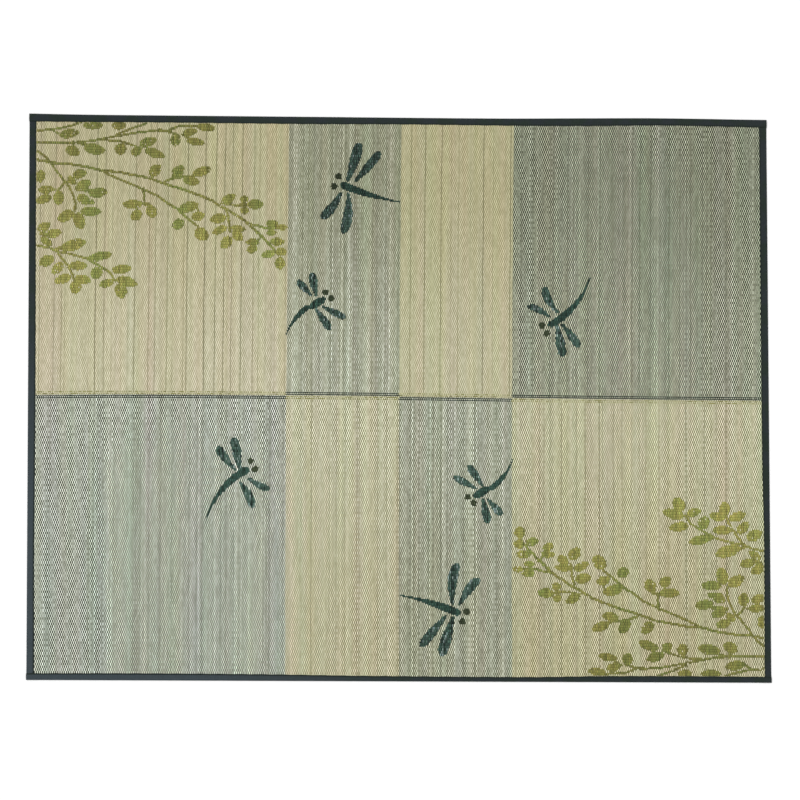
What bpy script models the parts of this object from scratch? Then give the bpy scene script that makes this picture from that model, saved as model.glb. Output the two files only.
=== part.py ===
"""Bound rush mat: two woven rush panels butted along the middle, edged all round with folded cloth tape.

The mat lies flat on the plane z = 0, centred on the origin, with its length along X and its depth along Y.
The rush stems run along Y, so each panel is one stem length deep. Heights follow from two distances:
end_in, measured in from the nearer end of the mat, and edge_in, measured in from the nearer long edge.
The two long strips of tape are sewn on last, so at each corner they close over the ends of the short strips.
The mat lies a little out of square, its rear edge shifted to the left, so each x is measured from a
middle line that leans by the same amount.
"""
from collections import namedtuple
import math

import bmesh
import bpy

MM = 0.001

# Whole mat
MAT_LENGTH = 2504 * MM
MAT_DEPTH = 1910 * MM
OUT_OF_SQUARE = 0.007
CLEARANCE = 0.3 * MM

# Woven rush cloth: free in the field, pressed under one tape, and pressed hard under two at the corners
RUSH_FREE = 2.6 * MM
RUSH_UNDER_ONE = 1.7 * MM
RUSH_UNDER_TWO = 1.0 * MM
RUSH_BACK_FROM_FOLD = 3 * MM

# Folded cloth tape
WIDEST_TAPE = 28 * MM
TAPE_THICKNESS = 0.5 * MM
TAPE_CROWN = 0.25 * MM
SHORT_TAPE_TUCK = 0.5 * MM

# Where a piece leaves a tape it eases down to its own level over this run
EASE_START = WIDEST_TAPE + 1 * MM
EASE_RUN = 20 * MM
EASE_STEPS = 4

# Spacing of the stations along the mat and along a short strip
FIELD_STATION = 110 * MM
SHORT_STATION = 200 * MM
FOLD_STEPS = 4

# Rear long edge, which waves a little: place along X, and how far the edge draws in from the mat's full depth
EdgeRow = namedtuple("EdgeRow", "along drawn_in")
REAR_EDGE = (
    EdgeRow(-1252 * MM, 0.0 * MM),
    EdgeRow(-1050 * MM, 2.5 * MM),
    EdgeRow(-740 * MM, 3.5 * MM),
    EdgeRow(-285 * MM, 4.4 * MM),
    EdgeRow(330 * MM, 5.5 * MM),
    EdgeRow(640 * MM, 2.6 * MM),
    EdgeRow(880 * MM, 0.8 * MM),
    EdgeRow(1252 * MM, 4.0 * MM),
)

# Middle seam: place along X, and how far the seam lies to the rear of the mat's middle
SeamRow = namedtuple("SeamRow", "along to_rear")
SEAM = (
    SeamRow(-1252 * MM, 0.7 * MM),
    SeamRow(-970 * MM, 4.6 * MM),
    SeamRow(-480 * MM, 4.3 * MM),
    SeamRow(0 * MM, 2.2 * MM),
    SeamRow(330 * MM, -0.7 * MM),
    SeamRow(650 * MM, -3.3 * MM),
    SeamRow(1252 * MM, -6.1 * MM),
)

# Each strip of tape, sewn by eye: place along the strip, and width there from its fold to its sewn edge
TapeRow = namedtuple("TapeRow", "along width")
REAR_TAPE = (
    TapeRow(-1252 * MM, 27.0 * MM),
    TapeRow(-900 * MM, 24.2 * MM),
    TapeRow(-290 * MM, 24.9 * MM),
    TapeRow(20 * MM, 23.0 * MM),
    TapeRow(320 * MM, 24.2 * MM),
    TapeRow(630 * MM, 26.6 * MM),
    TapeRow(930 * MM, 24.6 * MM),
    TapeRow(1252 * MM, 26.4 * MM),
)
FRONT_TAPE = (
    TapeRow(-1252 * MM, 22.5 * MM),
    TapeRow(-880 * MM, 23.6 * MM),
    TapeRow(-430 * MM, 22.0 * MM),
    TapeRow(-130 * MM, 18.4 * MM),
    TapeRow(430 * MM, 16.2 * MM),
    TapeRow(683 * MM, 20.2 * MM),
    TapeRow(886 * MM, 21.2 * MM),
    TapeRow(1252 * MM, 20.3 * MM),
)
LEFT_TAPE = (
    TapeRow(-955 * MM, 26.0 * MM),
    TapeRow(-520 * MM, 24.1 * MM),
    TapeRow(-60 * MM, 25.4 * MM),
    TapeRow(600 * MM, 23.7 * MM),
    TapeRow(955 * MM, 23.2 * MM),
)
RIGHT_TAPE = (
    TapeRow(-955 * MM, 22.6 * MM),
    TapeRow(-470 * MM, 20.8 * MM),
    TapeRow(-200 * MM, 24.7 * MM),
    TapeRow(500 * MM, 25.1 * MM),
    TapeRow(955 * MM, 25.0 * MM),
)

# Rounded selvedge of a panel at the seam: distance in from its edge, and share of the full thickness there
SelvedgeRow = namedtuple("SelvedgeRow", "inward share")
SELVEDGE = (
    SelvedgeRow(0.0 * MM, 0.45),
    SelvedgeRow(0.4 * MM, 0.75),
    SelvedgeRow(1.2 * MM, 0.95),
    SelvedgeRow(2.4 * MM, 1.0),
)

# Points across the flat of a tape, from its fold to its sewn edge, as shares of that width
UPPER_POINTS = (0.25, 0.5, 0.75, 1.0)
LOWER_POINTS = (1.0, 0.5)

HALF_LENGTH = MAT_LENGTH / 2
HALF_DEPTH = MAT_DEPTH / 2
LAP_LIFT = TAPE_THICKNESS + CLEARANCE


def smooth_step(share):
    """An S-shaped rise from 0 to 1."""
    share = min(max(share, 0.0), 1.0)
    return share * share * (3 - 2 * share)


def read_table(table, along):
    """The second column of a table at a place in its first column, by a smooth cubic through its rows."""
    last = len(table) - 1
    upper = next((i for i, row in enumerate(table) if row[0] >= along), last)
    upper = max(upper, 1)
    lower = upper - 1

    def slope(i):
        before, after = table[max(i - 1, 0)], table[min(i + 1, last)]
        return (after[1] - before[1]) / (after[0] - before[0])

    span = table[upper][0] - table[lower][0]
    t = min(max((along - table[lower][0]) / span, 0.0), 1.0)
    rise = smooth_step(t)
    ease_out = t * (1 - t) ** 2 * span * slope(lower)
    ease_in = t * t * (t - 1) * span * slope(upper)
    return table[lower][1] * (1 - rise) + table[upper][1] * rise + ease_out + ease_in


def rear_y(x):
    """Outer line of the rear long edge."""
    return HALF_DEPTH - read_table(REAR_EDGE, x)


def front_y(x):
    """Outer line of the front long edge, which is straight."""
    return -HALF_DEPTH


def seam_y(x):
    """Line of the middle seam."""
    return read_table(SEAM, x)


def on_mat(x, y, z):
    """A point in the mat's frame, given the x that is measured from the leaning middle line."""
    return x - OUT_OF_SQUARE * y, y, z


def lapped(inward):
    """1 where a tape covers the cloth, easing to 0 beyond its sewn edge."""
    return 1 - smooth_step((inward - EASE_START) / EASE_RUN)


def rush_height(layers):
    """Underside and top of the rush cloth with none, one or two tapes round it."""
    if layers <= 1:
        thickness = RUSH_FREE + (RUSH_UNDER_ONE - RUSH_FREE) * layers
    else:
        thickness = RUSH_UNDER_ONE + (RUSH_UNDER_TWO - RUSH_UNDER_ONE) * (layers - 1)
    underside = LAP_LIFT * layers
    return underside, underside + thickness


def eased_distances(first):
    """Distances in from an edge at which a piece needs a station: its start, and the steps of the ease."""
    return [first] + [EASE_START + EASE_RUN * i / EASE_STEPS for i in range(EASE_STEPS + 1)]


def stations(start, stop, first, spacing):
    """Places from start to stop, close together at both ends and evenly spaced between."""
    low = [start + d for d in eased_distances(first)]
    high = [stop - d for d in reversed(eased_distances(first))]
    count = math.ceil((high[0] - low[-1]) / spacing)
    middle = [low[-1] + (high[0] - low[-1]) * i / count for i in range(1, count)]
    return low + middle + high


def new_material(name, colour, roughness):
    """A plain Principled material."""
    material = bpy.data.materials.new(name)
    material.use_nodes = True
    shader = material.node_tree.nodes["Principled BSDF"]
    shader.inputs["Base Color"].default_value = (*colour, 1.0)
    shader.inputs["Roughness"].default_value = roughness
    shader.inputs["Metallic"].default_value = 0.0
    return material


def sheet_object(name, columns, rows, place, thickness, material, collection):
    """A grid carried to its place point by point, then given its thickness by Solidify.

    place(i, j) gives the point of column i and row j, and the share of the thickness there.
    """
    mesh = bpy.data.meshes.new(name)
    grid = bmesh.new()
    bmesh.ops.create_grid(grid, x_segments=columns - 1, y_segments=rows - 1, size=0.5)
    shares = []
    for vertex in grid.verts:
        i = round((vertex.co.x + 0.5) * (columns - 1))
        j = round((vertex.co.y + 0.5) * (rows - 1))
        point, share = place(i, j)
        vertex.co = point
        shares.append(share)
    grid.to_mesh(mesh)
    grid.free()
    piece = bpy.data.objects.new(name, mesh)
    collection.objects.link(piece)
    group = piece.vertex_groups.new(name="thickness")
    for index, share in enumerate(shares):
        group.add([index], share, "REPLACE")
    solid = piece.modifiers.new("Thickness", "SOLIDIFY")
    solid.thickness = thickness
    solid.offset = 0.0
    solid.vertex_group = group.name
    mesh.materials.append(material)
    mesh.shade_smooth()
    mesh.set_sharp_from_angle(angle=math.radians(40))
    return piece


def rush_panel(name, outer_y, toward_rear, material, collection):
    """One woven rush panel, from inside the tape of its long edge to the middle seam."""
    xs = stations(-HALF_LENGTH, HALF_LENGTH, RUSH_BACK_FROM_FOLD, FIELD_STATION)
    edge_ins = eased_distances(RUSH_BACK_FROM_FOLD)
    seam_rows = list(reversed(SELVEDGE))

    def place(i, j):
        x = xs[i]
        end_in = HALF_LENGTH - abs(x)
        seam_edge = seam_y(x) + toward_rear * CLEARANCE / 2
        if j < len(edge_ins):
            edge_in = edge_ins[j]
            y = outer_y(x) - toward_rear * edge_in
            share = 1.0
        else:
            row = seam_rows[j - len(edge_ins)]
            y = seam_edge + toward_rear * row.inward
            edge_in = HALF_DEPTH
            share = row.share
        underside, top = rush_height(lapped(end_in) + lapped(edge_in))
        return on_mat(x, y, (underside + top) / 2), share * (top - underside) / RUSH_FREE

    rows = len(edge_ins) + len(seam_rows)
    return sheet_object(name, len(xs), rows, place, RUSH_FREE, material, collection)


def tape_section(width, lower_z, upper_z, crown):
    """Middle line of a folded tape, as distance in from its fold and height, from under to upper edge."""
    radius = (upper_z - lower_z) / 2
    inset = TAPE_THICKNESS / 2
    centre = inset + radius
    flat = width - centre
    section = [(centre + flat * share, lower_z) for share in LOWER_POINTS]
    for step in range(FOLD_STEPS + 1):
        turn = math.pi * step / FOLD_STEPS
        section.append((centre - radius * math.sin(turn), lower_z + radius * (1 - math.cos(turn))))
    for share in UPPER_POINTS:
        bulge = crown * 4 * share * (1 - share)
        section.append((centre + flat * share, upper_z + bulge))
    return section


def tape_strip(name, lines, sections, place_across, material, collection):
    """A folded strip of tape: one section at each of the places in lines."""
    rows = len(sections[0])

    def place(i, j):
        inward, z = sections[i][j]
        x, y = place_across(lines[i], inward)
        return on_mat(x, y, z), 1.0

    return sheet_object(name, len(lines), rows, place, TAPE_THICKNESS, material, collection)


def long_strip(name, outer_y, toward_rear, widths, material, collection):
    """Tape of a long edge, which runs the mat's full length and closes over the short strips' ends."""
    xs = stations(-HALF_LENGTH, HALF_LENGTH, 0.0, FIELD_STATION)
    run_top = rush_height(1)[1] + CLEARANCE
    corner_top = rush_height(2)[1] + CLEARANCE + LAP_LIFT
    half_tape = TAPE_THICKNESS / 2
    sections = []
    for x in xs:
        under_both = lapped(HALF_LENGTH - abs(x))
        upper = run_top + (corner_top - run_top) * under_both
        width = read_table(widths, x)
        sections.append(tape_section(width, half_tape, upper + half_tape, TAPE_CROWN))

    def across(x, inward):
        return x, outer_y(x) - toward_rear * inward

    return tape_strip(name, xs, sections, across, material, collection)


def short_strip(name, to_right, widths, material, collection):
    """Tape of a short end, which runs from inside one long strip to inside the other."""
    fold_x = to_right * (HALF_LENGTH - SHORT_TAPE_TUCK)
    ys = stations(front_y(fold_x), rear_y(fold_x), RUSH_BACK_FROM_FOLD, SHORT_STATION)
    edge_ins = [min(rear_y(fold_x) - y, y - front_y(fold_x)) for y in ys]
    half_tape = TAPE_THICKNESS / 2
    sections = []
    for y, edge_in in zip(ys, edge_ins):
        tucked = lapped(edge_in)
        width = read_table(widths, y)
        lower = LAP_LIFT * tucked
        upper = rush_height(1 + tucked)[1] + CLEARANCE
        sections.append(tape_section(width, lower + half_tape, upper + half_tape, TAPE_CROWN * (1 - tucked)))
    middle = len(ys) // 2

    def across(line, inward):
        x = fold_x - to_right * inward
        y, edge_in = line
        if y > ys[middle]:
            return x, rear_y(x) - edge_in
        return x, y

    lines = list(zip(ys, edge_ins))
    return tape_strip(name, lines, sections, across, material, collection)


def clear_scene():
    """Removes the objects that a new file starts with."""
    for thing in list(bpy.data.objects):
        bpy.data.objects.remove(thing, do_unlink=True)


def main():
    """Builds the two panels and the four strips of tape."""
    clear_scene()
    mat = bpy.data.collections.new("tatami_mat")
    bpy.context.scene.collection.children.link(mat)
    rush = new_material("woven rush", (0.46, 0.44, 0.27), 0.6)
    tape = new_material("binding tape", (0.022, 0.032, 0.036), 0.75)
    rush_panel("panel_rear", rear_y, 1, rush, mat)
    rush_panel("panel_front", front_y, -1, rush, mat)
    long_strip("binding_rear", rear_y, 1, REAR_TAPE, tape, mat)
    long_strip("binding_front", front_y, -1, FRONT_TAPE, tape, mat)
    short_strip("binding_left", -1, LEFT_TAPE, tape, mat)
    short_strip("binding_right", 1, RIGHT_TAPE, tape, mat)


main()
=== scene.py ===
"""Rush floor rug: two woven panels with leaf sprays and dragonflies, laced along the middle, bound with tape.

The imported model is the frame, in metres: X along the rug, Y along the rush stems, Z up.
A place on a panel is given by a column of the weave, counted from the left end, and by the distance from
the middle seam. The front panel is the rear one's pattern turned half round.
"""
from __future__ import annotations

import logging
import math
from dataclasses import dataclass
from enum import Enum

import bpy
import numpy as np
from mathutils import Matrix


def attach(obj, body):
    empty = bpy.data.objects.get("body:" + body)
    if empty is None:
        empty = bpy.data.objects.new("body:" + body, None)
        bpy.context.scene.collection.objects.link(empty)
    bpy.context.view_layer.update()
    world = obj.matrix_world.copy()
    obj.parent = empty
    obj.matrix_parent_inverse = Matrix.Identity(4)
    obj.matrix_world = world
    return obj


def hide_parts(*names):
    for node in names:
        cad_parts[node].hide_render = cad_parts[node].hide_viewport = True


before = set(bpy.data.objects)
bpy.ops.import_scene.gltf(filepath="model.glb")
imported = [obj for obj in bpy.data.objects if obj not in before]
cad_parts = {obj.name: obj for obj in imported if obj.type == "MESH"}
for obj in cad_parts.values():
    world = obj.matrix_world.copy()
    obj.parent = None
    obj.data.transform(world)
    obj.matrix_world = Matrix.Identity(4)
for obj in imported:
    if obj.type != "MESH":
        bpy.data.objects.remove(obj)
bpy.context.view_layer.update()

LOG = logging.getLogger("rush_rug")
MM = 0.001
Array = np.ndarray
Rows = tuple[tuple[float, ...], ...]


def smooth_step(share: Array) -> Array:
    """S-shaped rise, 3 s^2 - 2 s^3, of a share held between 0 and 1."""
    share = np.clip(share, 0.0, 1.0)
    return share * share * (3 - 2 * share)


def linear_colour(code: str) -> tuple[float, float, float]:
    """Turns an sRGB hex value to linear light.

    Args:
        code: Six hex digits, red, green, blue.

    Returns:
        Linear red, green and blue from 0 to 1.
    """
    parts = np.array([int(code[i:i + 2], 16) for i in (0, 2, 4)]) / 255
    low, high = parts / 12.92, ((parts + 0.055) / 1.055) ** 2.4
    return tuple(float(v) for v in np.where(parts <= 0.04045, low, high))


def crossed(*axes: Array) -> list[Array]:
    """Every pairing of the axes' values, with the last axis running fastest, as flat arrays."""
    return [values.ravel() for values in np.meshgrid(*axes, indexing="ij")]


def quads_of(grid: Array) -> Array:
    """Quads of a grid of vertex numbers: (i, j), (i + 1, j), (i + 1, j + 1), (i, j + 1) in its last two axes."""
    corners = [grid[..., :-1, :-1], grid[..., 1:, :-1], grid[..., 1:, 1:], grid[..., :-1, 1:]]
    return np.stack(corners, -1).reshape(-1, 4)


def roof_faces(count: int) -> list[Array]:
    """Faces of hipped roofs of six points each: base corners 0 to 3, and the two ends of the ridge.

    Args:
        count: Number of roofs.

    Returns:
        The hips with the base, as triangles, and the two slopes, as quads.
    """
    hips_and_base = np.array([[0, 1, 4], [2, 3, 5], [0, 3, 2], [0, 2, 1]])
    slopes = np.array([[1, 2, 5, 4], [3, 0, 4, 5]])
    step = 6 * np.arange(count)[:, None, None]
    return [(part + step).reshape(-1, part.shape[1]) for part in (hips_and_base, slopes)]


@dataclass(frozen=True)
class Line:
    """A smooth line through a few rows, each a place and a distance, both in millimetres."""

    rows: Rows

    def at(self, along: Array) -> Array:
        """Distance at a place: an S-curve from row to row, plus each row's slope eased out to the next.

        Args:
            along: Places in metres.

        Returns:
            Distances in metres.
        """
        places, values = (np.asarray(self.rows) * MM).T
        slopes = np.empty_like(values)
        slopes[1:-1] = (values[2:] - values[:-2]) / (places[2:] - places[:-2])
        slopes[0] = (values[1] - values[0]) / (places[1] - places[0])
        slopes[-1] = (values[-1] - values[-2]) / (places[-1] - places[-2])
        upper = np.clip(np.searchsorted(places, along), 1, len(places) - 1)
        lower = upper - 1
        span = places[upper] - places[lower]
        t = np.clip((along - places[lower]) / span, 0.0, 1.0)
        rise = smooth_step(t)
        ease = t * (1 - t) ** 2 * slopes[lower] + t * t * (t - 1) * slopes[upper]
        return values[lower] * (1 - rise) + values[upper] * rise + span * ease


@dataclass(frozen=True)
class Rug:
    """Outline, seam and layer heights that every piece shares, the same as the solids' own."""

    half_length: float = 1252 * MM
    half_depth: float = 955 * MM
    lean: float = 0.007
    clearance: float = 0.3 * MM
    rush_back: float = 3 * MM
    rush_levels: tuple[float, float, float] = (2.6 * MM, 1.7 * MM, 1.0 * MM)
    tape: float = 0.5 * MM
    ease_start: float = 29 * MM
    ease_run: float = 20 * MM
    rear_edge: Line = Line(((-1252, 0), (-1050, 2.5), (-740, 3.5), (-285, 4.4), (330, 5.5), (640, 2.6),
                            (880, 0.8), (1252, 4)))
    seam: Line = Line(((-1252, 0.7), (-970, 4.6), (-480, 4.3), (0, 2.2), (330, -0.7), (650, -3.3),
                       (1252, -6.1)))

    def outer_y(self, x: Array, side: int) -> Array:
        """Outer line of a long edge: the rear one, side 1, waves a little, and the front one is straight."""
        return self.half_depth - self.rear_edge.at(x) if side > 0 else np.full_like(x, -self.half_depth)

    def lapped(self, inward: Array) -> Array:
        """1 where a tape covers the cloth, easing to 0 past its sewn edge."""
        return 1 - smooth_step((inward - self.ease_start) / self.ease_run)

    def rush_height(self, layers: Array) -> tuple[Array, Array]:
        """Heights of the rush cloth, which is pressed thinner in each tape and lies on its lower layer.

        Args:
            layers: Tapes round the cloth, from none to two.

        Returns:
            The underside and the top.
        """
        free, one, two = self.rush_levels
        thickness = np.where(layers <= 1, free + (one - free) * layers, one + (two - one) * (layers - 1))
        underside = (self.tape + self.clearance) * layers
        return underside, underside + thickness


RUG = Rug()


class Nodes:
    """The node tree of one material, with one way to add a node."""

    def __init__(self, name: str) -> None:
        """Starts an empty tree in a new material."""
        self.material = bpy.data.materials.new(name)
        self.material.use_nodes = True
        self.tree = self.material.node_tree
        self.tree.nodes.clear()

    def add(self, kind: str, feeds: dict | None = None, out: int | str = 0, **settings: object) -> object:
        """Adds a node with its settings and links.

        Args:
            kind: Node type without the words ShaderNode.
            feeds: Input name or number, and the socket or value that goes into it.
            out: Name or number of the output to give back.
            **settings: Properties of the node.

        Returns:
            The node's output socket.
        """
        node = self.tree.nodes.new("ShaderNode" + kind)
        for key, value in settings.items():
            setattr(node, key, value)
        for key, value in (feeds or {}).items():
            if isinstance(value, bpy.types.NodeSocket):
                self.tree.links.new(value, node.inputs[key])
            else:
                node.inputs[key].default_value = value
        return node.outputs[out] if len(node.outputs) else node


def build_piece(name: str, points: Array, faces: list, material: bpy.types.Material, smooth_to: float = 50,
                uv: Array | None = None, colour: Array | None = None,
                numbers: dict[str, Array] | None = None, mirrored: bool = False) -> bpy.types.Object:
    """Makes a mesh object at the origin from whole arrays.

    Args:
        name: Object name.
        points: Places of the vertices, one row each.
        faces: Arrays or lists of vertex numbers, all of which are joined.
        material: Its finish.
        smooth_to: Edges that turn more than this, in degrees, stay sharp.
        uv: Place in the weave of each vertex.
        colour: Linear colour of each vertex.
        numbers: Further values of each vertex, by attribute name.
        mirrored: Whether the shape is a mirror image, so that its faces are turned round to face outwards.

    Returns:
        The new object, riding on the rug's body.
    """
    mesh = bpy.data.meshes.new(name)
    order = -1 if mirrored else 1
    mesh.from_pydata(points, [], [row for block in faces for row in np.asarray(block)[:, ::order].tolist()])
    if uv is not None:
        corner = np.empty(len(mesh.loops), dtype=np.int32)
        mesh.loops.foreach_get("vertex_index", corner)
        mesh.uv_layers.new(name="weave").data.foreach_set("uv", uv[corner].astype(np.float32).ravel())
    if colour is not None:
        full = np.c_[colour, np.ones(len(colour))].astype(np.float32)
        mesh.color_attributes.new("dye", "FLOAT_COLOR", "POINT").data.foreach_set("color", full.ravel())
    for key, values in (numbers or {}).items():
        mesh.attributes.new(key, "FLOAT", "POINT").data.foreach_set("value", values.astype(np.float32))
    mesh.materials.append(material)
    mesh.shade_smooth()
    mesh.set_sharp_from_angle(angle=math.radians(smooth_to))
    piece = bpy.data.objects.new(name, mesh)
    bpy.context.scene.collection.objects.link(piece)
    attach(piece, "root")
    return piece


class Dye(Enum):
    """Colours of the dyed stems that make the figures, and how far single stems stray from them."""

    OLIVE = ("93904d", 0.16)
    GREEN = ("7e8a49", 0.16)
    STEM = ("8a874a", 0.16)
    TEAL = ("364a41", 0.42)
    FLECK = ("6c7c77", 0.20)
    BODY = ("2b4138", 0.30)
    EYE = ("333b29", 0.14)

    @property
    def linear(self) -> tuple[float, float, float]:
        """Its colour in linear light."""
        return linear_colour(self.value[0])

    @property
    def stray(self) -> float:
        """Share by which one stem may be lighter or darker."""
        return self.value[1]


class Form(Enum):
    """Outline of a lobe, as half its width along its length."""

    LEAF = 0
    WING = 1
    TAIL = 2
    OVAL = 3

    def half_width(self, t: Array) -> Array:
        """Half the width along the form.

        A leaf is an oval whose widest place lies a little towards its base. A wing is blunt at its root,
        swells to its outer half and ends round. A tail starts blunt and runs out thin. An oval is plain.

        Args:
            t: Shares of the length, from base to tip.

        Returns:
            Shares of the full width.
        """
        t = np.clip(t, 0.0, 1.0)
        if self is Form.LEAF:
            return 0.5 * np.sin(np.pi * t ** 0.9) ** 0.52
        if self is Form.WING:
            club = 0.38 + 0.62 * smooth_step(t / 0.62)
            return 0.5 * club * np.sqrt(np.clip(t / 0.05, 0, 1) * (1 - np.clip((t - 0.76) / 0.24, 0, 1) ** 2))
        if self is Form.TAIL:
            return 0.5 * np.sqrt(np.clip(t / 0.06, 0, 1)) * (1 - 0.8 * smooth_step((t - 0.18) / 0.82))
        return 0.5 * np.sqrt(1 - (2 * t - 1) ** 2)


@dataclass(frozen=True)
class Lobe:
    """One leaf, wing, tail or eye: where it starts and ends, in millimetres on the rear panel."""

    base: tuple[float, float]
    tip: tuple[float, float]
    width: float
    form: Form
    dye: Dye
    bend: float = 0.0

    def covers(self, x: Array, y: Array) -> Array:
        """Which points lie inside: across the line from base to tip, within the form's half width of a bow.

        The bow stands bend to the left of that line at the middle, and falls to nothing at both ends.

        Args:
            x: Places on the chart.
            y: The same.

        Returns:
            True for each point inside.
        """
        dx, dy = self.tip[0] - self.base[0], self.tip[1] - self.base[1]
        length = math.hypot(dx, dy)
        t = ((x - self.base[0]) * dx + (y - self.base[1]) * dy) / length ** 2
        across = ((y - self.base[1]) * dx - (x - self.base[0]) * dy) / length - self.bend * 4 * t * (1 - t)
        return (t > 0) & (t < 1) & (np.abs(across) < self.width * self.form.half_width(t))


@dataclass(frozen=True)
class Twig:
    """One stem of a spray: the points that it passes, in millimetres on the rear panel, and its thickness."""

    points: Rows
    thickness: float = 8.4

    def covers(self, x: Array, y: Array) -> Array:
        """Which points lie within half the thickness of any of its stretches.

        Args:
            x: Places on the chart.
            y: The same.

        Returns:
            True for each point inside.
        """
        near = np.full(x.shape, np.inf)
        for (ax, ay), (bx, by) in zip(self.points, self.points[1:]):
            dx, dy = bx - ax, by - ay
            t = np.clip(((x - ax) * dx + (y - ay) * dy) / (dx * dx + dy * dy), 0, 1)
            near = np.minimum(near, np.hypot(x - ax - t * dx, y - ay - t * dy))
        return near < self.thickness / 2


# Leaves of the spray: middle, length and width in millimetres, heading from base to tip in degrees
LEAVES = (
    (-1043, 918, 70, 28, 0), (-955, 919, 48, 32, 0), (-1124, 890, 67, 32, 10), (-1110, 830, 52, 36, 335),
    (-1037, 837, 74, 37, 350), (-949, 838, 41, 39, 270), (-897, 830, 35, 33, 225), (-857, 863, 62, 33, 18),
    (-834, 825, 73, 32, 340), (-832, 766, 52, 36, 50), (-816, 903, 25, 14, 0), (-764, 870, 41, 36, 260),
    (-715, 898, 48, 28, 12), (-696, 865, 63, 27, 350), (-661, 914, 62, 29, 352), (-1218, 744, 44, 32, 80),
    (-1200, 699, 54, 28, 185), (-1206, 666, 56, 30, 200), (-1156, 670, 48, 37, 265), (-1086, 752, 50, 32, 15),
    (-1112, 730, 37, 25, 320), (-1073, 714, 56, 36, 30), (-1022, 689, 63, 34, 10), (-1071, 665, 50, 35, 330),
    (-1044, 656, 22, 18, 0), (-1047, 625, 70, 32, 0), (-1131, 609, 62, 38, 208), (-1085, 592, 60, 40, 285),
    (-907, 650, 67, 32, 180), (-842, 626, 46, 38, 300), (-893, 613, 44, 36, 230), (-755, 763, 52, 36, 45),
    (-673, 764, 63, 32, 20), (-708, 731, 56, 32, 350), (-716, 643, 67, 36, 15), (-684, 611, 46, 32, 15),
    (-752, 583, 43, 36, 210), (-672, 550, 54, 44, 315), (-582, 671, 54, 30, 30), (-529, 670, 30, 25, 0),
    (-491, 653, 54, 34, 0), (-527, 631, 32, 25, 0), (-617, 604, 56, 34, 190), (-612, 564, 54, 28, 205),
    (-549, 569, 54, 25, 355), (-550, 544, 43, 32, 320), (-589, 522, 50, 37, 230), (-433, 588, 42, 27, 0),
    (-399, 575, 38, 20, 0), (-436, 557, 38, 21, 0), (-500, 524, 46, 25, 180), (-501, 500, 38, 28, 205),
    (-416, 526, 50, 28, 0), (-447, 483, 46, 28, 195), (-401, 492, 36, 29, 350), (-406, 452, 40, 36, 280),
    (-1203, 571, 48, 32, 30), (-1169, 550, 50, 32, 10), (-1195, 522, 46, 25, 330), (-1103, 510, 88, 40, 17),
    (-1010, 473, 74, 32, 12), (-1194, 456, 56, 37, 205), (-1156, 431, 52, 32, 225), (-1085, 440, 63, 32, 0),
    (-1138, 394, 59, 32, 200), (-1070, 394, 56, 32, 350), (-1095, 367, 46, 39, 270), (-1025, 415, 44, 39, 240),
    (-940, 429, 67, 32, 8), (-922, 387, 73, 36, 345), (-991, 381, 52, 28, 195), (-941, 355, 52, 41, 290),
)

# Stems of the spray, each from its root outwards
TWIGS = (
    Twig(((-1240, 898), (-1162, 906), (-1109, 919), (-1070, 935))),
    Twig(((-1177, 901), (-1162, 890))),
    Twig(((-1240, 858), (-1120, 858), (-1044, 866), (-972, 881), (-882, 897), (-827, 902), (-789, 899), (-759, 889))),
    Twig(((-960, 890), (-902, 913), (-864, 926))),
    Twig(((-1012, 870), (-947, 864), (-898, 848), (-880, 841))),
    Twig(((-1108, 863), (-1110, 832))),
    Twig(((-789, 903), (-755, 917), (-722, 917), (-688, 921))),
    Twig(((-742, 890), (-721, 878), (-708, 869))),
    Twig(((-1240, 802), (-1182, 790), (-1127, 787), (-1062, 777), (-1013, 764), (-965, 761), (-858, 742),
          (-784, 716), (-738, 703), (-689, 685), (-641, 666), (-614, 649), (-575, 627), (-523, 594),
          (-464, 539), (-432, 506), (-403, 471)), 9.4),
    Twig(((-1013, 764), (-964, 740), (-870, 701), (-821, 679), (-783, 651), (-756, 636), (-719, 602), (-685, 577))),
    Twig(((-870, 705), (-866, 650))),
    Twig(((-798, 729), (-774, 738), (-742, 744), (-703, 749))),
    Twig(((-588, 652), (-524, 647))),
    Twig(((-588, 632), (-580, 594), (-576, 557))),
    Twig(((-517, 587), (-485, 581), (-458, 573), (-421, 573))),
    Twig(((-1240, 835), (-1204, 813), (-1179, 781), (-1143, 735), (-1129, 722), (-1109, 683), (-1099, 652),
          (-1101, 628))),
    Twig(((-1132, 727), (-1159, 696))),
    Twig(((-1240, 511), (-1185, 500), (-1158, 488), (-1116, 481), (-1058, 464), (-1022, 444), (-980, 419),
          (-961, 389))),
    Twig(((-1155, 482), (-1128, 448), (-1106, 413), (-1096, 382))),
    Twig(((-1096, 703), (-1052, 696)), 15),
    Twig(((-1212, 548), (-1180, 541)), 16),
    Twig(((-880, 655), (-852, 650)), 11),
    Twig(((-1096, 860), (-1062, 850)), 10),
    Twig(((-1164, 494), (-1140, 503)), 12),
    Twig(((-774, 736), (-766, 752)), 8),
    Twig(((-540, 652), (-505, 655)), 10),
    Twig(((-690, 645), (-682, 622)), 6),
    Twig(((-1168, 700), (-1205, 683)), 7),
    Twig(((-466, 548), (-484, 528)), 6),
    Twig(((-606, 656), (-598, 668)), 9),
    Twig(((-1055, 468), (-1038, 470)), 10),
)


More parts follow.
